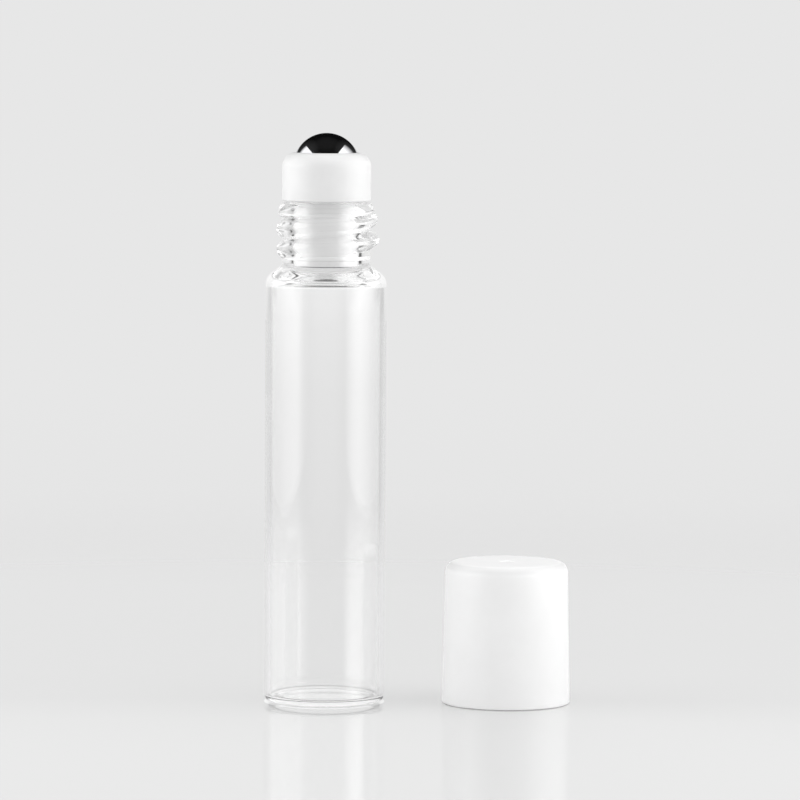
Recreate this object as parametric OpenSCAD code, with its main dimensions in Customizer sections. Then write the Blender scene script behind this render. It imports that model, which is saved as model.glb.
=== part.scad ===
// Roll-on bottle for oil or scent: a glass vial with a steel ball in a white fitment, and its screw
// cap standing beside it. The origin is on the bottle's axis, in the plane that both stand on.

/* [Glass bottle] */
// Outside diameter of the body
body_d = 18; // [16:0.5:20]
// Height of the glass from foot to rim
bottle_h = 74.9; // [60:0.1:95]
// Thickness of the body's wall
wall = 0.9; // [0.7:0.05:1.2]
// Thickness of the base
base_t = 0.95; // [0.8:0.05:1.5]
// Height that the middle of the base is pushed up over the foot
push_up = 0.45; // [0.3:0.05:0.7]
// Width of the flat ring that the bottle stands on
foot_w = 1.2; // [0.8:0.1:2]
// Outside radius of the heel
heel_r = 1.2; // [0.8:0.1:1.8]
// Inside radius of the heel
heel_in_r = 0.4; // [0.3:0.1:1.2]
// Outside radius of the shoulder's corner
shoulder_r = 2; // [1.4:0.1:2.2]
// Angle that the corner turns through before the shoulder's slope
shoulder_turn = 54; // [48:1:58]
// Radius of the corner inside the shoulder
shoulder_in_r = 1; // [0.6:0.1:1.4]
// Angle that the ceiling inside the shoulder climbs at, towards the neck
ceiling_tilt = 10; // [5:1:15]
// Height of the ceiling's outer edge over the start of the shoulder's corner
ceiling_rise = 0.6; // [0.3:0.1:0.8]

/* [Neck] */
// Height from the start of the shoulder's corner to the rim
neck_h = 12.4; // [12.2:0.1:13.4]
// Diameter of the neck between the threads
neck_d = 13.1; // [12.8:0.1:13.8]
// Bore of the neck
neck_bore_d = 9.8; // [9:0.1:10.2]
// Hollow radius where the shoulder runs into the neck
neck_fillet_r = 0.8; // [0.5:0.1:1]
// Radius of the glass at the lower mouth of the bore
mouth_r = 0.7; // [0.4:0.1:0.9]
// Diameter of the rounded lip under the rim
lip_d = 14.3; // [14:0.1:14.6]
// Height of the lip, from its foot to the rim
lip_h = 2.3; // [2.1:0.1:2.5]
// Radius of the lip's top edge
lip_r = 1.6; // [1:0.1:1.6]
// Radius of the lip's foot
lip_foot_r = 0.3; // [0.1:0.05:0.35]
// Radius of the rim's inner edge
lip_in_r = 0.25; // [0.15:0.05:0.4]

/* [Screw thread] */
// Height of the thread over the neck
thread_h = 1.1; // [0.8:0.05:1.2]
// Height by which the thread stands out further on the side towards the cap beside it
thread_skew = 0.22; // [0:0.02:0.3]
// Rise of the thread in one turn
thread_pitch = 3.05; // [2.9:0.05:3.2]
// Width of the thread at its root
thread_w = 2.6; // [1.8:0.1:2.7]
// Turns of thread on the neck
thread_turns = 1.85; // [1.5:0.05:1.9]
// Depth of the thread's lower end below the rim
thread_low = 7.9; // [7.6:0.1:8]
// Direction that the thread's lower end faces
thread_start = -260; // [-360:5:0]

/* [Ball and housing] */
// Diameter of the steel ball
ball_d = 10.2; // [9.6:0.1:10.4]
// Height of the ball's top over the housing
ball_show = 2.9; // [2.2:0.1:3.2]
// Running gap round the ball
ball_gap = 0.07; // [0.04:0.01:0.1]
// Diameter of the housing's collar
collar_d = 13.2; // [12.8:0.1:13.6]
// Height of the collar
collar_h = 7.2; // [6.8:0.1:8]
// Radius of the collar's top edge
collar_edge_r = 2.1; // [1:0.1:2.2]
// Width of the lip between that edge and the socket
collar_lip_w = 0.1; // [0.05:0.05:0.2]
// Length of the stem in the neck
stem_h = 10.2; // [8:0.1:10.4]
// Gap between the stem and the neck's bore
stem_gap = 0.06; // [0.04:0.01:0.1]
// Bore through the stem
stem_bore_d = 7; // [6.5:0.1:7.2]
// Height of a sealing rib, which grips the glass
rib_h = 0.1; // [0.08:0.01:0.12]
// Width of a sealing rib
rib_w = 0.7; // [0.5:0.1:1]
// Length of the lead-in at the stem's tip
tip_h = 0.6; // [0.4:0.1:0.8]
// Inward step of the lead-in
tip_in = 0.3; // [0.2:0.05:0.4]

/* [Cap] */
// Diameter of the cap at its mouth
cap_d = 19.1; // [18.8:0.1:20]
// Diameter of the cap where its top edge starts
cap_top_d = 18.3; // [18:0.1:18.7]
// Outside radius of the cap's top edge
cap_edge_r = 1.5; // [1:0.1:1.8]
// Radius of the mouth's outer edge
cap_lip_r = 0.25; // [0.15:0.05:0.4]
// Thickness of the cap's top
cap_top_t = 1.1; // [0.9:0.1:1.4]
// Height of the closed cap's mouth over the start of the bottle's shoulder
cap_seat = 3; // [2.8:0.1:3.4]
// Gap between the bottle's thread and the cap's wall
cap_gap = 0.15; // [0.1:0.05:0.3]
// Gap between the collar and the cap's upper wall
cap_collar_gap = 0.95; // [0.6:0.05:1]
// Height of the cap's own thread over its wall
cap_thread_h = 0.9; // [0.7:0.05:1]
// Width of the cap's own thread at its root
cap_thread_w = 1.4; // [1.1:0.1:1.5]
// Turns of the cap's own thread
cap_thread_turns = 1.6; // [1.2:0.1:1.8]
// Height of the lower end of the cap's own thread
cap_thread_low = 1.7; // [1.5:0.1:2.2]
// Diameter of the moulding gate's dimple in the cap's top
gate_d = 2.4; // [2:0.1:3]
// Depth of that dimple
gate_h = 0.15; // [0.1:0.05:0.25]
// Clear space between the bottle and the cap beside it
cap_apart = 8.65; // [4:0.05:20]

/* [Cap liner] */
// Thickness of the liner's disc
liner_t = 0.5; // [0.4:0.05:0.7]
// Gap between the liner and the ball or the collar of a closed bottle
liner_gap = 0.1; // [0.05:0.05:0.2]
// Gap between the liner's rim and the cap's wall
liner_side_gap = 0.05; // [0.03:0.01:0.1]
// Inside diameter of the liner's sealing ring
ring_d = 10; // [9.9:0.1:10.3]
// Thickness of the sealing ring
ring_t = 0.6; // [0.5:0.1:0.8]
// Inward step of the bead that holds the liner up
bead_in = 0.25; // [0.15:0.05:0.35]
// Height of that bead
bead_h = 0.5; // [0.4:0.1:0.7]

/* [Hidden] */
$fn = 96;
// Segments of one rounded corner, and of the base's dome
corner_steps = 6;
// Sections of a thread in one turn
turn_steps = 24;
// Turn over which a thread fades out at each end
fade_turn = 0.2;
// Depth that a thread is rooted in its wall, so that the two are one solid
thread_root = 0.35;
// Overrun of every cut past the face that it opens
over = 0.5;
// Places of the stem's sealing ribs from the tip up, as shares of its length below the rim
rib_shares = [0.83, 0.21];
// Outline of a thread's section: shares of its half width, and of its height
section_shares = [[-1, 0], [-0.78, 0.45], [-0.42, 0.9], [0, 1], [0.42, 0.9], [0.78, 0.45], [1, 0]];

body_r = body_d / 2;
inner_r = body_r - wall;
neck_r = neck_d / 2;
lip_out_r = lip_d / 2;
lip_z = bottle_h - lip_h;
bore_r = neck_bore_d / 2;
shoulder_z = bottle_h - neck_h;
ceiling_z = shoulder_z + ceiling_rise;

// The slope runs from the shoulder's corner to the hollow at the neck, at one angle
slope_r = body_r - shoulder_r * (1 - cos(shoulder_turn));
slope_z = shoulder_z + shoulder_r * sin(shoulder_turn);
hollow_r = neck_r + neck_fillet_r * (1 - cos(shoulder_turn));
hollow_z = slope_z + (slope_r - hollow_r) / tan(shoulder_turn);
neck_z = hollow_z + neck_fillet_r * sin(shoulder_turn);

// The ceiling inside runs from its corner to the round mouth of the bore
ceiling_r = inner_r - shoulder_in_r * (1 - sin(ceiling_tilt));
ceiling_end_z = ceiling_z - shoulder_in_r * (1 - cos(ceiling_tilt));
mouth_end_r = bore_r + mouth_r * (1 - sin(ceiling_tilt));
mouth_end_z = ceiling_end_z + (ceiling_r - mouth_end_r) * tan(ceiling_tilt);
mouth_z = mouth_end_z + mouth_r * cos(ceiling_tilt);

collar_r = collar_d / 2;
collar_top = bottle_h + collar_h;
ball_r = ball_d / 2;
ball_z = collar_top + ball_show - ball_r;
socket_r = ball_r + ball_gap;
// The collar's round edge ends at a narrow lip round the socket's mouth
collar_lip_r = sqrt(pow(socket_r, 2) - pow(collar_top - ball_z, 2)) + collar_lip_w;
collar_edge_in_r = collar_r - collar_edge_r;
collar_edge_end = acos(max(0, (collar_lip_r - collar_edge_in_r) / collar_edge_r));
stem_r = bore_r - stem_gap;
stem_z = bottle_h - stem_h;

cap_r = cap_d / 2;
cap_x = body_r + cap_apart + cap_r;
// Heights in the cap are those of a closed bottle, less the height of the cap's mouth there
closed_z = shoulder_z + cap_seat;
liner_z = ball_z + ball_r + liner_gap - closed_z;
ceiling_cap_z = liner_z + liner_t;
cap_h = ceiling_cap_z + cap_top_t;
cap_bore_r = neck_r + thread_h + thread_skew + cap_gap;
cap_upper_r = collar_r + cap_collar_gap;
cap_step_z = bottle_h - closed_z;

// Points of a round corner about a centre, from one angle to another
function arc(c_r, c_z, r, from, to) = [
    for (i = [0 : corner_steps])
        let (a = from + (to - from) * i / corner_steps)
            [c_r + r * cos(a), c_z + r * sin(a)]
];

// Points of a shallow dome from the axis out to a radius
function dome(r, z, rise) = [
    for (i = [0 : corner_steps])
        let (share = i / corner_steps)
            [r * share, z + rise * (1 - pow(share, 2))]
];

// How far a thread has risen out of its wall after some turns, from 0 to 1
function rise_share(turn, turns) =
    sin(90 * min(1, turn / fade_turn, (turns - turn) / fade_turn));

// A helical ridge on a wall. Side 1 stands out of the wall, and side -1 stands into a bore
module thread(wall_r, height, skew, width, turns, low_z, start, side) {
    steps = ceil(turns * turn_steps);
    ring = concat([[-1, -1]], section_shares, [[1, -1]]);
    sides = len(ring);
    points = [
        for (i = [0 : steps])
            let (turn = turns * i / steps, rise = rise_share(turn, turns), a = start + 360 * turn)
                for (p = ring)
                    let (
                        h = height + skew * cos(a) + thread_root / 2,
                        up = p[1] < 0 ? -thread_root : h * rise * p[1] - thread_root / 2,
                        r = wall_r + side * up,
                        z = low_z + thread_pitch * turn + side * p[0] * width / 2
                    )
                        [r * cos(a), r * sin(a), z]
    ];
    skin = [
        for (i = [0 : steps - 1])
            for (j = [0 : sides - 1])
                let (k = (j + 1) % sides, a = i * sides, b = a + sides)
                    each [[a + j, b + k, b + j], [a + j, a + k, b + k]]
    ];
    ends = [
        for (j = [1 : sides - 2])
            each [[0, j + 1, j], [steps * sides, steps * sides + j, steps * sides + j + 1]]
    ];
    polyhedron(points, concat(skin, ends));
}

module glass_bottle() {
    outside = concat(
        dome(body_r - heel_r - foot_w, 0, push_up),
        arc(body_r - heel_r, heel_r, heel_r, -90, 0),
        arc(body_r - shoulder_r, shoulder_z, shoulder_r, 0, shoulder_turn),
        arc(neck_r + neck_fillet_r, neck_z, neck_fillet_r, 180 + shoulder_turn, 180),
        [[neck_r, lip_z]],
        arc(lip_out_r - lip_foot_r, lip_z + lip_foot_r, lip_foot_r, -90, 0),
        arc(lip_out_r - lip_r, bottle_h - lip_r, lip_r, 0, 90)
    );
    inside = concat(
        arc(bore_r + lip_in_r, bottle_h - lip_in_r, lip_in_r, 90, 180),
        arc(bore_r + mouth_r, mouth_z, mouth_r, 180, 270 - ceiling_tilt),
        arc(inner_r - shoulder_in_r, ceiling_z - shoulder_in_r, shoulder_in_r, 90 - ceiling_tilt, 0),
        arc(inner_r - heel_in_r, base_t + heel_in_r, heel_in_r, 0, -90)
    );
    floor_points = dome(inner_r - heel_in_r, base_t, push_up);
    color([0.86, 0.92, 0.93, 0.4])
        union() {
            rotate_extrude()
                polygon(concat(
                    outside, inside, [for (i = [corner_steps - 1 : -1 : 0]) floor_points[i]]
                ));
            thread(
                neck_r, thread_h, thread_skew, thread_w, thread_turns,
                bottle_h - thread_low, thread_start, 1
            );
        }
}

module ball_housing() {
    ribs = [
        for (share = rib_shares)
            let (z = bottle_h - stem_h * share)
                each [[stem_r, z - rib_w / 2], [stem_r + rib_h, z], [stem_r, z + rib_w / 2]]
    ];
    color([0.96, 0.96, 0.95])
        difference() {
            rotate_extrude()
                polygon(concat(
                    [[0, stem_z], [stem_r - tip_in, stem_z], [stem_r, stem_z + tip_h]],
                    ribs,
                    [[stem_r, bottle_h], [collar_r, bottle_h]],
                    arc(
                        collar_edge_in_r, collar_top - collar_edge_r, collar_edge_r,
                        0, collar_edge_end
                    ),
                    [[0, collar_top - collar_edge_r * (1 - sin(collar_edge_end))]]
                ));
            translate([0, 0, ball_z])
                sphere(r = socket_r);
            translate([0, 0, stem_z - over])
                cylinder(d = stem_bore_d, h = ball_z - stem_z + over);
        }
}

module roller_ball() {
    color([0.32, 0.33, 0.34])
        translate([0, 0, ball_z])
            sphere(r = ball_r);
}

module cap_shell() {
    top_r = cap_top_d / 2;
    draft_z = cap_h - cap_edge_r;
    bead_z = liner_z - bead_h;
    color([0.97, 0.97, 0.97])
        translate([cap_x, 0, 0])
            difference() {
                union() {
                    rotate_extrude()
                        polygon(concat(
                            [[cap_bore_r, 0]],
                            arc(cap_r - cap_lip_r, cap_lip_r, cap_lip_r, -90, 0),
                            arc(top_r - cap_edge_r, draft_z, cap_edge_r, 0, 90),
                            [[0, cap_h], [0, ceiling_cap_z], [cap_upper_r, ceiling_cap_z]],
                            [[cap_upper_r, liner_z], [cap_upper_r - bead_in, liner_z - bead_h / 2]],
                            [[cap_upper_r, bead_z]],
                            [[cap_upper_r, cap_step_z + cap_bore_r - cap_upper_r]],
                            [[cap_bore_r, cap_step_z]]
                        ));
                    thread(
                        cap_bore_r, cap_thread_h, 0, cap_thread_w, cap_thread_turns,
                        cap_thread_low, thread_start, -1
                    );
                }
                translate([0, 0, cap_h - gate_h])
                    cylinder(d = gate_d, h = gate_h + over);
            }
}

module cap_liner() {
    ring_r = ring_d / 2;
    // The ring lands on the collar's rounded edge, under the middle of its own thickness
    ring_out = ring_r + ring_t / 2 - collar_r + collar_edge_r;
    ring_drop = collar_edge_r - sqrt(pow(collar_edge_r, 2) - pow(max(0, ring_out), 2));
    ring_z = collar_top - closed_z - ring_drop + liner_gap;
    color([0.93, 0.94, 0.93])
        translate([cap_x, 0, 0])
            union() {
                translate([0, 0, liner_z])
                    cylinder(r = cap_upper_r - liner_side_gap, h = liner_t);
                difference() {
                    translate([0, 0, ring_z])
                        cylinder(r = ring_r + ring_t, h = liner_z + liner_t / 2 - ring_z);
                    translate([0, 0, ring_z - over])
                        cylinder(r = ring_r, h = liner_z - ring_z + over);
                }
            }
}

glass_bottle();
ball_housing();
roller_ball();
cap_shell();
cap_liner();
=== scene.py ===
# A roll-on bottle of clear glass, uncapped, with its white screw cap standing beside it. Lengths are
# in metres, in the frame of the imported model: +Z up, +X towards the cap, -Y towards the camera.
from math import acos, cos, degrees, dist, pi, radians, sin, sqrt, tan, tau

import bmesh
import bpy
from mathutils import Matrix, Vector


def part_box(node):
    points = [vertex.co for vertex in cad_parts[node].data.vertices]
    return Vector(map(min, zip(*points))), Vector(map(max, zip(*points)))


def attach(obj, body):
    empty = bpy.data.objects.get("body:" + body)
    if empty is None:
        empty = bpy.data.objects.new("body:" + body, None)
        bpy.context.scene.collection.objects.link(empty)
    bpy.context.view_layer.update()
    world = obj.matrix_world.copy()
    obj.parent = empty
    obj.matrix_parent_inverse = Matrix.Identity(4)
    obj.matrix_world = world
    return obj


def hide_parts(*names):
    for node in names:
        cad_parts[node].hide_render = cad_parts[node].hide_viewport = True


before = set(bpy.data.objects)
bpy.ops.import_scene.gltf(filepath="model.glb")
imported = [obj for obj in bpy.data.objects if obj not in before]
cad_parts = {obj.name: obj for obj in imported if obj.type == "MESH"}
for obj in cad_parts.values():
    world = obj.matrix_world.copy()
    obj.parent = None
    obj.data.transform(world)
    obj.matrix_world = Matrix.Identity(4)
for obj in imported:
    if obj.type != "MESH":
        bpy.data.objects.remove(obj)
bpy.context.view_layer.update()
MM = 0.001

# Camera. A long lens stands three quarters of a metre off, just above the ball, and looks a little
# down, so that the cap's top shows as a thin ellipse. It leans by a third of a degree.
camera_distance = 743 * MM
camera_height = 104.4 * MM
camera_side = 11.1 * MM
camera_pitch = radians(4.55)
camera_roll = radians(0.35)

lens = bpy.data.cameras.new("camera")
lens.sensor_width = 36
lens.lens = 225
camera = bpy.data.objects.new("camera", lens)
bpy.context.collection.objects.link(camera)
camera.matrix_world = (
    Matrix.Translation((camera_side, -camera_distance, camera_height))
    @ Matrix.Rotation(pi / 2 - camera_pitch, 4, "X")
    @ Matrix.Rotation(camera_roll, 4, "Z")
)
bpy.context.scene.camera = camera
bpy.context.scene.view_settings.view_transform = "Standard"


# Studio. A sheet of glossy white acrylic lies under the object, in a room with a pale backdrop, a
# dark ceiling and a tall softbox on each side, the right-hand one stronger.
def linear(code):
    """A colour from its sRGB hex code, as linear red, green, blue and alpha."""
    parts = [int(code[i : i + 2], 16) / 255 for i in (1, 3, 5)]
    return [p / 12.92 if p <= 0.04045 else ((p + 0.055) / 1.055) ** 2.4 for p in parts] + [1]


def add(tree, kind, inputs={}, stops=(), **settings):
    """A new node. A socket among the inputs is linked, and any other value is set. Stops are the
    (place, colour code) pairs of a colour ramp."""
    node = tree.nodes.new(kind)
    for name, value in settings.items():
        setattr(node, name, value)
    for name, value in inputs.items():
        if isinstance(value, bpy.types.NodeSocket):
            tree.links.new(value, node.inputs[name])
        else:
            node.inputs[name].default_value = value
    for i, (place, code) in enumerate(stops):
        marks = node.color_ramp.elements
        mark = marks[i] if i < len(marks) else marks.new(1)
        mark.position = place
        mark.color = linear(code)
    return node


def shader(name):
    """A new material and its emptied node tree."""
    material = bpy.data.materials.new(name)
    material.use_nodes = True
    material.node_tree.nodes.clear()
    return material, material.node_tree


def rise(angle):
    """The place on a ramp from straight down to straight up of an angle over the horizon."""
    return 0.5 + sin(radians(angle)) / 2


def beside(share):
    """The place on a ramp from far left to far right of the sideways share of a direction."""
    return 0.5 + share / 2


world = bpy.data.worlds.new("studio")
bpy.context.scene.world = world
world.use_nodes = True
tree = world.node_tree
tree.nodes.clear()
way = add(tree, "ShaderNodeTexCoord").outputs["Generated"]
axes = add(tree, "ShaderNodeSeparateXYZ", {"Vector": way})
height = add(tree, "ShaderNodeMapRange", {"Value": axes.outputs["Z"], "From Min": -1}).outputs[0]
turn = add(tree, "ShaderNodeMapRange", {"Value": axes.outputs["X"], "From Min": -1}).outputs[0]
aside = add(tree, "ShaderNodeMath", {0: axes.outputs["X"]}, operation="ABSOLUTE").outputs[0]
backdrop = add(
    tree,
    "ShaderNodeValToRGB",
    {"Fac": height},
    [(rise(-8), "#E3E3E3"), (rise(-6), "#E5E5E5"), (rise(-4.5), "#E7E7E7")],
)
# What glass shows of the room: pale walls over the backdrop, with a narrow dark gap high up, and
# greyer towards the sides below the horizon
walls = add(
    tree,
    "ShaderNodeValToRGB",
    {"Fac": height},
    [
        (rise(-20), "#F8F8F8"),
        (rise(-12), "#E4E4E4"),
        (rise(-6), "#E4E4E4"),
        (rise(-4.5), "#E7E7E7"),
        (rise(-3), "#EFEFEF"),
        (rise(8), "#F8F8F8"),
        (rise(16), "#FFFFFF"),
        (rise(43), "#FFFFFF"),
        (rise(46), "#2A2A2A"),
        (rise(51), "#2A2A2A"),
        (rise(54), "#FFFFFF"),
    ],
)
flank = add(
    tree,
    "ShaderNodeValToRGB",
    {"Fac": aside},
    [(0.3, "#FFFFFF"), (0.75, "#D8D8D8")],
)
low = add(
    tree,
    "ShaderNodeMapRange",
    {"Value": height, "From Min": rise(4), "From Max": rise(-2)},
)
shaded = add(
    tree,
    "ShaderNodeMixRGB",
    {"Fac": low.outputs[0], "Color1": walls.outputs[0], "Color2": flank.outputs[0]},
    blend_type="MULTIPLY",
)
# A dark opening in each side wall, near the horizon and far below it. The edge of the bore shows
# them as short dark dashes, darker on the right.
doors = add(
    tree,
    "ShaderNodeValToRGB",
    {"Fac": turn},
    [
        (beside(-0.92), "#FFFFFF"),
        (beside(-0.87), "#4C4C4C"),
        (beside(-0.81), "#4C4C4C"),
        (beside(-0.76), "#FFFFFF"),
        (beside(0.7), "#FFFFFF"),
        (beside(0.76), "#141414"),
        (beside(0.9), "#141414"),
        (beside(0.96), "#FFFFFF"),
    ],
)
reach = add(
    tree,
    "ShaderNodeValToRGB",
    {"Fac": height},
    [
        (rise(-30), "#000000"),
        (rise(-28), "#FFFFFF"),
        (rise(-9.5), "#FFFFFF"),
        (rise(-8.5), "#000000"),
        (rise(-2.5), "#000000"),
        (rise(-1.5), "#FFFFFF"),
        (rise(5), "#FFFFFF"),
        (rise(6), "#000000"),
    ],
)
through_glass = add(
    tree,
    "ShaderNodeMixRGB",
    {"Fac": reach.outputs[0], "Color1": shaded.outputs[0], "Color2": doors.outputs[0]},
    blend_type="MULTIPLY",
)
# What metal and gloss mirror of it: a lit foot of the backdrop under a dark ceiling
ceiling = add(
    tree,
    "ShaderNodeValToRGB",
    {"Fac": height},
    [
        (rise(7.5), "#E7E7E7"),
        (rise(8.3), "#F8F8F8"),
        (rise(10), "#F8F8F8"),
        (rise(13), "#121212"),
        (rise(50), "#0F0F0F"),
        (rise(75), "#232323"),
    ],
)
glow = add(tree, "ShaderNodeValToRGB", {"Fac": aside}, [(0.35, "#000000"), (0.7, "#383838")])
mirrored = add(
    tree,
    "ShaderNodeMixRGB",
    {"Fac": 1, "Color1": ceiling.outputs[0], "Color2": glow.outputs[0]},
    blend_type="ADD",
)
# The light that fills the room, less of it where the softboxes stand in front of the walls
lights = add(
    tree, "ShaderNodeValToRGB", {"Fac": height}, [(rise(10), "#F4F4F4"), (rise(60), "#F6F6F6")]
)
sides = add(tree, "ShaderNodeValToRGB", {"Fac": aside}, [(0.35, "#FFFFFF"), (0.8, "#D4D4D4")])
fill = add(
    tree,
    "ShaderNodeMixRGB",
    {"Fac": 1, "Color1": lights.outputs[0], "Color2": sides.outputs[0]},
    blend_type="MULTIPLY",
)
path = add(tree, "ShaderNodeLightPath")
view = fill.outputs[0]
for ray, shade in (
    ("Is Glossy Ray", mirrored),
    ("Is Singular Ray", through_glass),
    ("Is Transmission Ray", through_glass),
    ("Is Camera Ray", backdrop),
):
    view = add(
        tree,
        "ShaderNodeMixRGB",
        {"Fac": path.outputs[ray], "Color1": view, "Color2": shade.outputs[0]},
    ).outputs[0]
room = add(tree, "ShaderNodeBackground", {"Color": view, "Strength": 1})
add(tree, "ShaderNodeOutputWorld", {"Surface": room.outputs[0]})

# Acrylic sheet, cast and polished: a clear mirror at this low angle over a white body. Away from the
# object the backdrop takes its place.
floor_radius = 900 * MM
fade_from = 110 * MM
fade_to = 330 * MM
tone_from = -20 * MM
tone_to = 180 * MM
ring_span = 20 * MM
ring_from = 6.5 * MM
ring_to = 7.9 * MM
ring_fade = 0.3 * MM
halo_from = 7.5 * MM
halo_to = 9 * MM
halo_fade = 0.1 * MM
pool_y = 4.7 * MM
pool_r = 8 * MM
pool_fade = 0.6 * MM

material, tree = shader("polished_white_acrylic_sheet")
place = add(tree, "ShaderNodeTexCoord").outputs["Object"]
apart = add(tree, "ShaderNodeVectorMath", {0: place}, operation="LENGTH")
fade = add(
    tree,
    "ShaderNodeMapRange",
    {"Value": apart.outputs["Value"], "From Min": fade_from, "From Max": fade_to},
    interpolation_type="SMOOTHSTEP",
)
path = add(tree, "ShaderNodeLightPath")
straight = add(
    tree,
    "ShaderNodeMath",
    {0: path.outputs["Is Camera Ray"], 1: path.outputs["Is Transmission Ray"]},
    operation="ADD",
)
seen = add(tree, "ShaderNodeMath", {0: fade.outputs[0], 1: straight.outputs[0]}, operation="MULTIPLY")
# Painted light and shade: the sheet's white is painted a little darker just behind the object and
# lighter towards the back, standing in for how the lamps light it
depth = add(tree, "ShaderNodeSeparateXYZ", {"Vector": place})
back = add(
    tree,
    "ShaderNodeMapRange",
    {"Value": depth.outputs["Y"], "From Min": tone_from, "From Max": tone_to},
)
white = add(
    tree,
    "ShaderNodeValToRGB",
    {"Fac": back.outputs[0]},
    [(0, "#CECECE"), (0.11, "#CACACA"), (0.85, "#D8D8D8")],
)
# Painted light and shade: the light that the thick glass base gathers on the sheet is painted on, as
# a halo round its foot ring and a pool behind it. Where the ring stands, the sheet is painted darker.
share = add(
    tree, "ShaderNodeMath", {0: apart.outputs["Value"], 1: ring_span}, operation="DIVIDE"
)
ring = add(
    tree,
    "ShaderNodeValToRGB",
    {"Fac": share.outputs[0]},
    [
        (ring_from / ring_span, "#FFFFFF"),
        ((ring_from + ring_fade) / ring_span, "#B4B4B4"),
        ((ring_to - ring_fade) / ring_span, "#B4B4B4"),
        (ring_to / ring_span, "#FFFFFF"),
    ],
)
outside = add(
    tree,
    "ShaderNodeMapRange",
    {
        "Value": apart.outputs["Value"],
        "From Min": halo_to + halo_fade,
        "From Max": halo_to - halo_fade,
    },
)
inside = add(
    tree,
    "ShaderNodeMapRange",
    {
        "Value": apart.outputs["Value"],
        "From Min": halo_from,
        "From Max": halo_from + ring_fade,
    },
)
halo = add(
    tree,
    "ShaderNodeMath",
    {0: outside.outputs[0], 1: inside.outputs[0]},
    operation="MULTIPLY",
)
spot = add(tree, "ShaderNodeVectorMath", {0: place, 1: (0, pool_y, 0)}, operation="DISTANCE")
pool = add(
    tree,
    "ShaderNodeMapRange",
    {"Value": spot.outputs["Value"], "From Min": pool_r, "From Max": pool_r - pool_fade},
)
lit = add(tree, "ShaderNodeMath", {0: halo.outputs[0], 1: pool.outputs[0]}, operation="MAXIMUM")
# Painted contact shadow of the foot ring, laid over the sheet's white
ring_shaded_sheet = add(
    tree,
    "ShaderNodeMixRGB",
    {"Fac": 1, "Color1": white.outputs[0], "Color2": ring.outputs[0]},
    blend_type="MULTIPLY",
)
# Painted light from the glass base: the halo and the pool
painted_light = add(
    tree,
    "ShaderNodeMixRGB",
    {"Fac": lit.outputs[0], "Color1": ring_shaded_sheet.outputs[0], "Color2": linear("#F2F2F2")},
)
sheet = add(
    tree,
    "ShaderNodeBsdfPrincipled",
    {"Base Color": painted_light.outputs[0], "Roughness": 0.06, "IOR": 1.49},
)
clear = add(tree, "ShaderNodeBsdfTransparent")
cover = add(
    tree,
    "ShaderNodeMixShader",
    {0: seen.outputs[0], 1: sheet.outputs[0], 2: clear.outputs[0]},
)
add(tree, "ShaderNodeOutputMaterial", {"Surface": cover.outputs[0]})

floor = bpy.data.objects.new("floor", bpy.data.meshes.new("floor"))
bpy.context.collection.objects.link(floor)
plate = bmesh.new()
bmesh.ops.create_circle(plate, cap_ends=True, radius=floor_radius, segments=96)
plate.to_mesh(floor.data)
plate.free()
floor.data.materials.append(material)

# A low panel stands in front of each softbox. The softboxes light the object, and the panels only
# show in gloss and through glass, as bands on the bottle. All fade out towards their ends, and are
# a little darker at the foot.
foot_from = 25 * MM
foot_to = 60 * MM
for name, x, front, back, top, soft, power in (
    ("softbox_left", -300 * MM, -340 * MM, 250 * MM, 380 * MM, 0.2, 1.08),
    ("softbox_right", 300 * MM, -390 * MM, 250 * MM, 450 * MM, 0.4, 1.72),
    ("panel_left", -280 * MM, -300 * MM, 110 * MM, 150 * MM, 0.35, 0.16),
    ("panel_right", 280 * MM, -370 * MM, 100 * MM, 150 * MM, 0.45, 0.275),
):
    light = bpy.data.lights.new(name, "AREA")
    light.shape = "RECTANGLE"
    light.size = back - front
    light.size_y = top
    light.energy = power
    light.use_nodes = True
    tree = light.node_tree
    across = add(tree, "ShaderNodeNewGeometry").outputs["Parametric"]
    ends = add(tree, "ShaderNodeSeparateXYZ", {"Vector": across})
    edges = add(
        tree,
        "ShaderNodeValToRGB",
        {"Fac": ends.outputs["X"]},
        [(0, "#000000"), (soft, "#FFFFFF"), (1 - soft, "#FFFFFF"), (1, "#000000")],
    )
    climb = add(
        tree,
        "ShaderNodeValToRGB",
        {"Fac": ends.outputs["Y"]},
        [(foot_from / top, "#D0D0D0"), (foot_to / top, "#FFFFFF")],
    )
    shape = add(
        tree,
        "ShaderNodeMixRGB",
        {"Fac": 1, "Color1": edges.outputs[0], "Color2": climb.outputs[0]},
        blend_type="MULTIPLY",
    )
    tree.links.new(shape.outputs[0], tree.nodes["Emission"].inputs["Color"])
    lamp = bpy.data.objects.new(name, light)
    lamp.location = (x, (front + back) / 2, top / 2)
    lamp.rotation_euler = (pi / 2, 0, pi / 2 if x > 0 else -pi / 2)
    lamp.visible_camera = False
    lamp.visible_diffuse = name.startswith("softbox")
    lamp.visible_transmission = name.startswith("panel")
    bpy.context.collection.objects.link(lamp)


# Glass bottle. It is drawn from a length of clear soda-lime tube: the base is closed over a flame
# and pushed up, and the neck is necked in and rolled to its screw thread while it is soft.
def arc(centre, radius, start, end, steps=12):
    """Points of a round corner about a centre, from one angle in degrees to another."""
    angles = [radians(start + (end - start) * i / steps) for i in range(steps + 1)]
    return [(centre[0] + radius * cos(a), centre[1] + radius * sin(a)) for a in angles]


def dome(radius, level, bulge, steps=10):
    """Points of a shallow dome, from the axis out to a radius."""
    shares = [i / steps for i in range(steps + 1)]
    return [(radius * s, level + bulge * (1 - s**2)) for s in shares]


def stretch(start, end, step):
    """Points along a straight wall, a step or less apart, without its end."""
    count = max(1, round(dist(start, end) / step))
    return [tuple(s + (e - s) * i / count for s, e in zip(start, end)) for i in range(count)]


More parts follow.
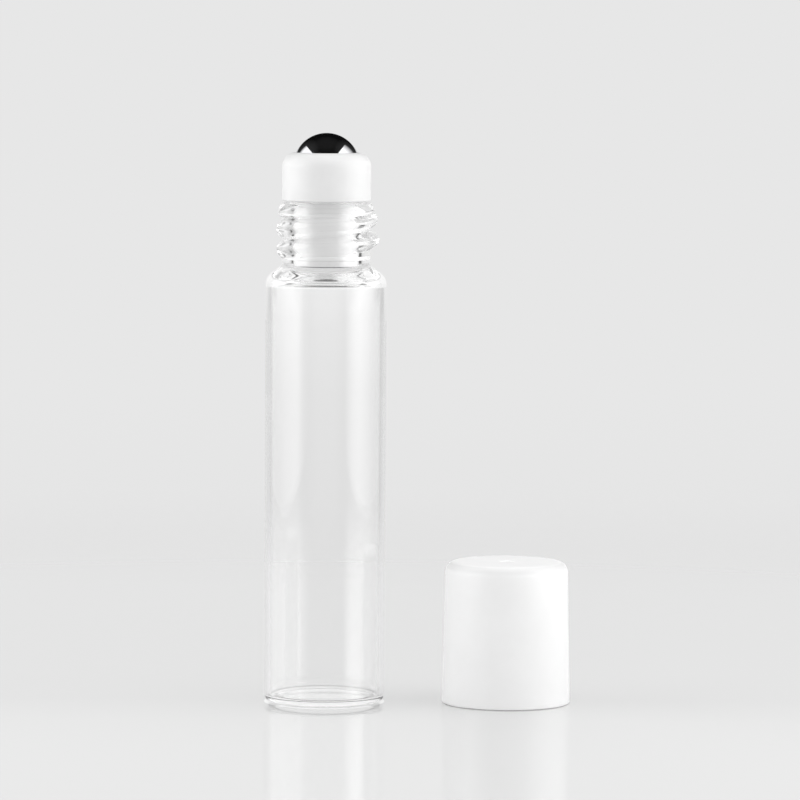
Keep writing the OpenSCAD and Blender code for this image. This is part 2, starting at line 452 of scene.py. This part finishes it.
def lathe(name, outline, sides=256, swell=None, sharp=40):
    """A mesh object spun about Z from (radius, height) points, with swell(radius, height, angle)
    added to a radius. A point on the axis is one vertex, and an outline off the axis is closed."""
    mesh = bpy.data.meshes.new(name)
    shape = bmesh.new()
    rings = []
    for r, z in outline:
        if r == 0:
            rings.append([shape.verts.new((0, 0, z))])
            continue
        ring = []
        for i in range(sides):
            a = tau * i / sides
            reach = r + (swell(r, z, a) if swell else 0)
            ring.append(shape.verts.new((reach * cos(a), reach * sin(a), z)))
        rings.append(ring)
    pairs = list(zip(rings, rings[1:]))
    if len(rings[0]) > 1:
        pairs.append((rings[-1], rings[0]))
    for a, b in pairs:
        for i in range(sides):
            j = (i + 1) % sides
            corners = [a[i % len(a)], a[j % len(a)], b[j % len(b)], b[i % len(b)]]
            shape.faces.new(dict.fromkeys(corners))
    bmesh.ops.recalc_face_normals(shape, faces=shape.faces)
    for face in shape.faces:
        face.smooth = True
    shape.to_mesh(mesh)
    shape.free()
    mesh.set_sharp_from_angle(angle=radians(sharp))
    piece = bpy.data.objects.new(name, mesh)
    bpy.context.collection.objects.link(piece)
    return piece


thread_pitch = 3.05 * MM


def ridge(z, angle, start, low, turns, width, height, fade_turn=0.22):
    """How far a right-hand thread stands out of its wall at a height and an angle. It runs out over
    the fade_turn at each end, and its section has a round crest and slightly hollow feet."""
    crest_power = 2.2
    foot_power = 1.2
    out = 0
    lap = (angle - start) / tau % 1
    while lap < turns:
        off = abs(z - low - thread_pitch * lap) / (width / 2)
        if off < 1:
            ease = min(1, lap / fade_turn, (turns - lap) / fade_turn)
            section = (1 - off**crest_power) ** foot_power
            out = max(out, height * sin(ease * pi / 2) * section)
        lap += 1
    return out


glass_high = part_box("glass_bottle")[1]
body_r = glass_high.x
rim_z = glass_high.z
wall = 0.9 * MM
base_thick = 0.95 * MM
push_up = 0.45 * MM
foot_wide = 1.2 * MM
heel_r = 1.2 * MM
heel_in_r = 0.4 * MM
shoulder_z = rim_z - 12.4 * MM
shoulder_r = 2 * MM
shoulder_turn = 54
shoulder_in_r = 1.0 * MM
ceiling_tilt = 10
ceiling_z = shoulder_z + 0.6 * MM
neck_r = 6.55 * MM
neck_fillet_r = 0.8 * MM
bore_r = 4.9 * MM
mouth_r = 0.7 * MM
lip_out_r = 7.15 * MM
lip_low_z = rim_z - 2.3 * MM
lip_r = 1.6 * MM
lip_foot_r = 0.3 * MM
lip_in_r = 0.25 * MM
thread_low = rim_z - 7.9 * MM
thread_start = radians(-260)
thread_turns = 1.85
thread_wide = 2.9 * MM
thread_high = 1.1 * MM
thread_skew = 0.22 * MM
thread_root = 0.25 * MM
row_step = 0.12 * MM
plain_step = 4 * MM

inner_r = body_r - wall
turned = radians(shoulder_turn)
tilt = radians(ceiling_tilt)
slope_r = body_r - shoulder_r * (1 - cos(turned))
hollow_r = neck_r + neck_fillet_r * (1 - cos(turned))
hollow_z = shoulder_z + shoulder_r * sin(turned) + (slope_r - hollow_r) / tan(turned)
neck_z = hollow_z + neck_fillet_r * sin(turned)
ceiling_run = inner_r - shoulder_in_r * (1 - sin(tilt)) - bore_r - mouth_r * (1 - sin(tilt))
mouth_z = ceiling_z - shoulder_in_r * (1 - cos(tilt)) + ceiling_run * tan(tilt) + mouth_r * cos(tilt)

outline = (
    dome(body_r - heel_r - foot_wide, 0, push_up)
    + arc((body_r - heel_r, heel_r), heel_r, -90, 0)
    + stretch((body_r, heel_r), (body_r, shoulder_z), plain_step)[1:]
    + arc((body_r - shoulder_r, shoulder_z), shoulder_r, 0, shoulder_turn)
    + arc((neck_r + neck_fillet_r, neck_z), neck_fillet_r, 180 + shoulder_turn, 180)
    + stretch((neck_r, neck_z), (neck_r, lip_low_z), row_step)[1:]
    + arc((lip_out_r - lip_foot_r, lip_low_z + lip_foot_r), lip_foot_r, -90, 0, 6)
    + arc((lip_out_r - lip_r, rim_z - lip_r), lip_r, 0, 90, 20)
    + arc((bore_r + lip_in_r, rim_z - lip_in_r), lip_in_r, 90, 180)
    + arc((bore_r + mouth_r, mouth_z), mouth_r, 180, 270 - ceiling_tilt)
    + arc((inner_r - shoulder_in_r, ceiling_z - shoulder_in_r), shoulder_in_r, 90 - ceiling_tilt, 0)
    + stretch(
        (inner_r, ceiling_z - shoulder_in_r), (inner_r, base_thick + heel_in_r), plain_step
    )[1:]
    + arc((inner_r - heel_in_r, base_thick + heel_in_r), heel_in_r, 0, -90)
    + dome(inner_r - heel_in_r, base_thick, push_up)[-2::-1]
)


def rolled_thread(r, z, angle):
    """The glass thread, on the outside of the neck, from its root out. It is deeper on one side."""
    if r < neck_r - thread_root or z < hollow_z:
        return 0
    deep = thread_high + thread_skew * cos(angle)
    crest = neck_r + ridge(z, angle, thread_start, thread_low, thread_turns, thread_wide, deep)
    return max(0, crest - r)


bottle = lathe("bottle_glass", outline, swell=rolled_thread)

# Soda-lime glass, drawn and flame polished: colourless, with the faint draw lines of the tube. Light
# shines through it, so that what it holds is as bright as it is in the open, and after a few turns
# inside it light gets out, so that its thick parts are clear too.
turns_inside = 2.5
line_gap = 3 * MM
line_stretch = 0.04
material, tree = shader("drawn_soda_lime_glass")
place = add(tree, "ShaderNodeTexCoord").outputs["Object"]
drawn = add(tree, "ShaderNodeMapping", {"Vector": place, "Scale": (1, 1, line_stretch)})
lines = add(
    tree, "ShaderNodeTexNoise", {"Vector": drawn.outputs[0], "Scale": 1 / line_gap, "Detail": 2}
)
waves = add(
    tree,
    "ShaderNodeBump",
    {"Height": lines.outputs["Fac"], "Strength": 0.15, "Distance": 0.05 * MM},
)
glass = add(
    tree,
    "ShaderNodeBsdfPrincipled",
    {
        "Base Color": linear("#FDFDFD"),
        "Roughness": 0,
        "IOR": 1.52,
        "Transmission Weight": 1,
        "Normal": waves.outputs[0],
    },
)
through = add(tree, "ShaderNodeBsdfTransparent", {"Color": linear("#FAFAFA")})
path = add(tree, "ShaderNodeLightPath")
lit = add(
    tree,
    "ShaderNodeMath",
    {0: path.outputs["Is Shadow Ray"], 1: path.outputs["Is Diffuse Ray"]},
    operation="MAXIMUM",
)
let_out = add(
    tree,
    "ShaderNodeMath",
    {0: path.outputs["Glossy Depth"], 1: turns_inside},
    operation="GREATER_THAN",
)
bare = add(tree, "ShaderNodeMath", {0: lit.outputs[0], 1: let_out.outputs[0]}, operation="MAXIMUM")
surface = add(
    tree,
    "ShaderNodeMixShader",
    {0: bare.outputs[0], 1: glass.outputs[0], 2: through.outputs[0]},
)
add(tree, "ShaderNodeOutputMaterial", {"Surface": surface.outputs[0]})
bottle.data.materials.append(material)
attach(bottle, "bottle")
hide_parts("glass_bottle")

# Ball housing. It is moulded in one piece from natural-white polyethylene: a collar that stands on
# the glass rim and holds the ball, over a hollow stem whose two ribs grip the bore of the neck.
housing_low, housing_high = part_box("ball_housing")
ball_low, ball_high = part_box("roller_ball")
collar_r = housing_high.x
collar_top = housing_high.z
collar_edge_r = 2.1 * MM
collar_lip = 0.1 * MM
collar_foot_r = 0.2 * MM
stem_z = housing_low.z
stem_r = bore_r - 0.06 * MM
stem_bore_r = 3.5 * MM
tip_in = 0.3 * MM
rib_high = 0.1 * MM
rib_wide = 0.7 * MM
rib_shares = (0.83, 0.21)
rib_steps = 8
socket_steps = 24
ball_r = (ball_high.z - ball_low.z) / 2
ball_z = (ball_high.z + ball_low.z) / 2
socket_r = ball_r + 0.07 * MM
socket_top = acos((collar_top - ball_z) / socket_r)
socket_foot = pi - acos(sqrt(socket_r**2 - stem_bore_r**2) / socket_r)
edge_in = (socket_r * sin(socket_top) + collar_lip - collar_r + collar_edge_r) / collar_edge_r
edge_end = degrees(acos(edge_in))

ribs = []
for share in rib_shares:
    z = rim_z - (rim_z - stem_z) * share
    for i in range(rib_steps + 1):
        swing = pi * i / rib_steps
        ribs.append((stem_r + rib_high * sin(swing), z - rib_wide / 2 * cos(swing)))
socket = []
for i in range(socket_steps + 1):
    a = socket_top + (socket_foot - socket_top) * i / socket_steps
    socket.append((socket_r * sin(a), ball_z + socket_r * cos(a)))
outline = (
    arc((stem_r - tip_in, stem_z + tip_in), tip_in, -90, 0, 6)
    + ribs
    + [(stem_r, rim_z)]
    + arc((collar_r - collar_foot_r, rim_z + collar_foot_r), collar_foot_r, -90, 0, 6)
    + arc((collar_r - collar_edge_r, collar_top - collar_edge_r), collar_edge_r, 0, edge_end, 24)
    + socket
    + [(stem_bore_r, stem_z)]
)
housing = lathe("housing_moulding", outline, sides=192)

# Polyethylene, natural white and satin from the mould: light sinks a little way into it
material, tree = shader("moulded_white_polyethylene")
place = add(tree, "ShaderNodeTexCoord").outputs["Object"]
grain = add(tree, "ShaderNodeTexNoise", {"Vector": place, "Scale": 1 / (0.35 * MM), "Detail": 3})
texture = add(
    tree,
    "ShaderNodeBump",
    {"Height": grain.outputs["Fac"], "Strength": 0.25, "Distance": 0.01 * MM},
)
flow = add(tree, "ShaderNodeTexNoise", {"Vector": place, "Scale": 1 / (4 * MM), "Detail": 2})
tone = add(
    tree, "ShaderNodeValToRGB", {"Fac": flow.outputs["Fac"]}, [(0.3, "#E8E8E8"), (0.7, "#ECECEC")]
)
# Painted light and shade: the stem's sides are painted lighter, for the light that the neck's glass
# gathers on them, and its front is painted darker than the collar
front_r = 1.2 * MM
flank_r = 3 * MM
spot = add(tree, "ShaderNodeSeparateXYZ", {"Vector": place})
across = add(tree, "ShaderNodeMath", {0: spot.outputs["X"]}, operation="ABSOLUTE")
flank = add(
    tree,
    "ShaderNodeMapRange",
    {"Value": across.outputs[0], "From Min": front_r, "From Max": flank_r},
    interpolation_type="SMOOTHSTEP",
)
below = add(tree, "ShaderNodeMath", {0: spot.outputs["Z"], 1: rim_z}, operation="LESS_THAN")
side = add(
    tree,
    "ShaderNodeMath",
    {0: flank.outputs[0], 1: below.outputs[0]},
    operation="MULTIPLY",
)
# Painted shade: the stem below the rim is darker than the collar
front = add(
    tree,
    "ShaderNodeMixRGB",
    {"Fac": below.outputs[0], "Color1": tone.outputs[0], "Color2": linear("#E4E4E4")},
)
# Painted light on the stem's sides
painted_light = add(
    tree,
    "ShaderNodeMixRGB",
    {"Fac": side.outputs[0], "Color1": front.outputs[0], "Color2": linear("#FAFAFA")},
)
# A dark line painted on the stem's end, in front and behind: painted shade for the dark that the
# thick root of the neck bends there
line_top = stem_z + 0.42 * MM
line_full = stem_z + 0.24 * MM
line_r = 4.3 * MM
line_full_r = 2.6 * MM
tip = add(
    tree,
    "ShaderNodeMapRange",
    {"Value": spot.outputs["Z"], "From Min": line_top, "From Max": line_full},
)
middle = add(
    tree,
    "ShaderNodeMapRange",
    {"Value": across.outputs[0], "From Min": line_r, "From Max": line_full_r},
    interpolation_type="SMOOTHSTEP",
)
line = add(tree, "ShaderNodeMath", {0: tip.outputs[0], 1: middle.outputs[0]}, operation="MULTIPLY")
# Painted shade: the dark line laid on the stem's end
painted_dark_line = add(
    tree,
    "ShaderNodeMixRGB",
    {"Fac": line.outputs[0], "Color1": painted_light.outputs[0], "Color2": linear("#606060")},
)
gloss = add(
    tree,
    "ShaderNodeMapRange",
    {"Value": grain.outputs["Fac"], "To Min": 0.34, "To Max": 0.46},
)
plastic = add(
    tree,
    "ShaderNodeBsdfPrincipled",
    {
        "Base Color": painted_dark_line.outputs[0],
        "Roughness": gloss.outputs[0],
        "IOR": 1.51,
        "Subsurface Weight": 0.25,
        "Subsurface Radius": (1, 1, 1),
        "Subsurface Scale": 0.8 * MM,
        "Normal": texture.outputs[0],
    },
)
add(tree, "ShaderNodeOutputMaterial", {"Surface": plastic.outputs[0]})
housing.data.materials.append(material)
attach(housing, "bottle")
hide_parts("ball_housing")

# Roller ball. It is a bearing ball of stainless steel, ground and polished all over, and only its
# top stands out of the housing.
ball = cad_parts["roller_ball"]

# Stainless steel, ground and lapped: a dark mirror with faint lapping marks and a trace of film
material, tree = shader("lapped_stainless_steel")
place = add(tree, "ShaderNodeTexCoord").outputs["Object"]
film = add(tree, "ShaderNodeTexNoise", {"Vector": place, "Scale": 1 / (2.5 * MM), "Detail": 4})
gloss = add(
    tree, "ShaderNodeMapRange", {"Value": film.outputs["Fac"], "To Min": 0.03, "To Max": 0.08}
)
marks = add(tree, "ShaderNodeTexNoise", {"Vector": place, "Scale": 1 / (0.2 * MM), "Detail": 2})
texture = add(
    tree,
    "ShaderNodeBump",
    {"Height": marks.outputs["Fac"], "Strength": 0.05, "Distance": 0.002 * MM},
)
steel = add(
    tree,
    "ShaderNodeBsdfPrincipled",
    {
        "Base Color": linear("#CFCFD1"),
        "Metallic": 1,
        "Roughness": gloss.outputs[0],
        "Normal": texture.outputs[0],
    },
)
add(tree, "ShaderNodeOutputMaterial", {"Surface": steel.outputs[0]})
ball.data.materials[0] = material

# Cap shell. It is moulded in one piece from white polypropylene, with a draft towards its mouth,
# a round top edge, the gate's small dimple in the middle of its top, and a screw thread inside.
cap_low, cap_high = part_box("cap_shell")
liner_low, liner_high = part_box("cap_liner")
cap_x = (cap_low.x + cap_high.x) / 2
cap_r = (cap_high.x - cap_low.x) / 2
cap_z = cap_high.z
cap_top_r = 9.15 * MM
cap_edge_r = 1.5 * MM
cap_lip_r = 0.25 * MM
cap_bore_r = 8.02 * MM
cap_upper_r = 7.55 * MM
cap_step_z = 9.4 * MM
cap_thread_low = 1.7 * MM
cap_thread_turns = 1.6
cap_thread_wide = 1.7 * MM
cap_thread_high = 0.9 * MM
cap_row_step = 0.15 * MM
gate_r = 1.2 * MM
gate_floor_r = gate_r * 0.7
gate_deep = 0.15 * MM
gate_edge_r = gate_deep * 2
bead_in = 0.25 * MM
bead_high = 0.5 * MM
liner_thick = 0.5 * MM
liner_z = liner_high.z - liner_thick

outline = (
    [(0, cap_z - gate_deep), (gate_floor_r, cap_z - gate_deep)]
    + arc((gate_r, cap_z - gate_edge_r), gate_edge_r, 150, 90, 6)
    + arc((cap_top_r - cap_edge_r, cap_z - cap_edge_r), cap_edge_r, 90, 0, 20)
    + arc((cap_r - cap_lip_r, cap_lip_r), cap_lip_r, 0, -90, 6)
    + arc((cap_bore_r + cap_lip_r, cap_lip_r), cap_lip_r, 270, 180, 6)
    + stretch((cap_bore_r, cap_lip_r), (cap_bore_r, cap_step_z), cap_row_step)[1:]
    + [
        (cap_bore_r, cap_step_z),
        (cap_upper_r, cap_step_z + cap_bore_r - cap_upper_r),
        (cap_upper_r, liner_z - bead_high),
        (cap_upper_r - bead_in, liner_z - bead_high / 2),
        (cap_upper_r, liner_z),
        (cap_upper_r, liner_high.z),
        (0, liner_high.z),
    ]
)


def cap_thread(r, z, angle):
    """The cap's thread, which stands into its bore."""
    if abs(r - cap_bore_r) > row_step / 2 or z > cap_step_z:
        return 0
    return -ridge(
        z,
        angle,
        thread_start,
        cap_thread_low,
        cap_thread_turns,
        cap_thread_wide,
        cap_thread_high,
    )


cap = lathe("cap_moulding", outline, sides=192, swell=cap_thread)
cap.data.transform(Matrix.Translation((cap_x, 0, 0)))

# Polypropylene, white and semi-gloss from a polished mould, with the faint flow marks of its filling
material, tree = shader("moulded_white_polypropylene")
place = add(tree, "ShaderNodeTexCoord").outputs["Object"]
peel = add(tree, "ShaderNodeTexNoise", {"Vector": place, "Scale": 1 / (0.5 * MM), "Detail": 2})
texture = add(
    tree,
    "ShaderNodeBump",
    {"Height": peel.outputs["Fac"], "Strength": 0.2, "Distance": 0.008 * MM},
)
flow = add(tree, "ShaderNodeTexNoise", {"Vector": place, "Scale": 1 / (6 * MM), "Detail": 3})
tone = add(
    tree, "ShaderNodeValToRGB", {"Fac": flow.outputs["Fac"]}, [(0.3, "#F9F9F9"), (0.7, "#FDFDFD")]
)
# The softboxes light the round top edge the most, so its white is painted darker there, a painted
# shade. The shares are of the edge's height, from its foot up.
held_shares = (0.05, 0.55, 0.85, 0.97)
foot, low, high, end = [cap_z - cap_edge_r * (1 - share) for share in held_shares]
spot = add(tree, "ShaderNodeSeparateXYZ", {"Vector": place})
climb = add(
    tree,
    "ShaderNodeMapRange",
    {"Value": spot.outputs["Z"], "From Min": foot, "From Max": low},
    interpolation_type="SMOOTHSTEP",
)
level = add(
    tree,
    "ShaderNodeMapRange",
    {"Value": spot.outputs["Z"], "From Min": end, "From Max": high},
    interpolation_type="SMOOTHSTEP",
)
edge = add(tree, "ShaderNodeMath", {0: climb.outputs[0], 1: level.outputs[0]}, operation="MULTIPLY")
# Painted shade on the round top edge
held = add(
    tree,
    "ShaderNodeMixRGB",
    {"Fac": edge.outputs[0], "Color1": tone.outputs[0], "Color2": linear("#EDEDED")},
)
gloss = add(
    tree,
    "ShaderNodeMapRange",
    {"Value": flow.outputs["Fac"], "To Min": 0.26, "To Max": 0.36},
)
plastic = add(
    tree,
    "ShaderNodeBsdfPrincipled",
    {
        "Base Color": held.outputs[0],
        "Roughness": gloss.outputs[0],
        "IOR": 1.49,
        "Subsurface Weight": 0.1,
        "Subsurface Radius": (1, 1, 1),
        "Subsurface Scale": 0.5 * MM,
        "Normal": texture.outputs[0],
    },
)
add(tree, "ShaderNodeOutputMaterial", {"Surface": plastic.outputs[0]})
cap.data.materials.append(material)
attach(cap, "cap")
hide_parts("cap_shell")

# Cap liner. It is a thin disc of soft polyethylene with a sealing ring, snapped in over a bead under
# the cap's top. Its disc presses the ball down and its ring lands on the collar.
liner_r = (liner_high.x - liner_low.x) / 2
ring_in_r = 5.0 * MM
ring_thick = 0.6 * MM
liner_edge_r = 0.12 * MM
outline = (
    [(0, liner_z)]
    + [(ring_in_r, liner_z)]
    + arc((ring_in_r + ring_thick / 2, liner_low.z + ring_thick / 2), ring_thick / 2, 180, 360, 10)
    + [(ring_in_r + ring_thick, liner_z)]
    + arc((liner_r - liner_edge_r, liner_z + liner_edge_r), liner_edge_r, -90, 0, 4)
    + arc((liner_r - liner_edge_r, liner_high.z - liner_edge_r), liner_edge_r, 0, 90, 4)
    + [(0, liner_high.z)]
)
liner = lathe("liner_moulding", outline, sides=128)
liner.data.transform(Matrix.Translation((cap_x, 0, 0)))

# Low-density polyethylene, natural: milky and waxy
material, tree = shader("natural_soft_polyethylene")
place = add(tree, "ShaderNodeTexCoord").outputs["Object"]
cloud = add(tree, "ShaderNodeTexNoise", {"Vector": place, "Scale": 1 / (2 * MM), "Detail": 3})
tone = add(
    tree, "ShaderNodeValToRGB", {"Fac": cloud.outputs["Fac"]}, [(0.3, "#E6E8E4"), (0.7, "#EEF0EC")]
)
gloss = add(
    tree,
    "ShaderNodeMapRange",
    {"Value": cloud.outputs["Fac"], "To Min": 0.42, "To Max": 0.55},
)
wax = add(
    tree,
    "ShaderNodeBsdfPrincipled",
    {
        "Base Color": tone.outputs[0],
        "Roughness": gloss.outputs[0],
        "IOR": 1.51,
        "Subsurface Weight": 0.4,
        "Subsurface Radius": (1, 1, 1),
        "Subsurface Scale": 1.0 * MM,
    },
)
add(tree, "ShaderNodeOutputMaterial", {"Surface": wax.outputs[0]})
liner.data.materials.append(material)
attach(liner, "cap")
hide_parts("cap_liner")
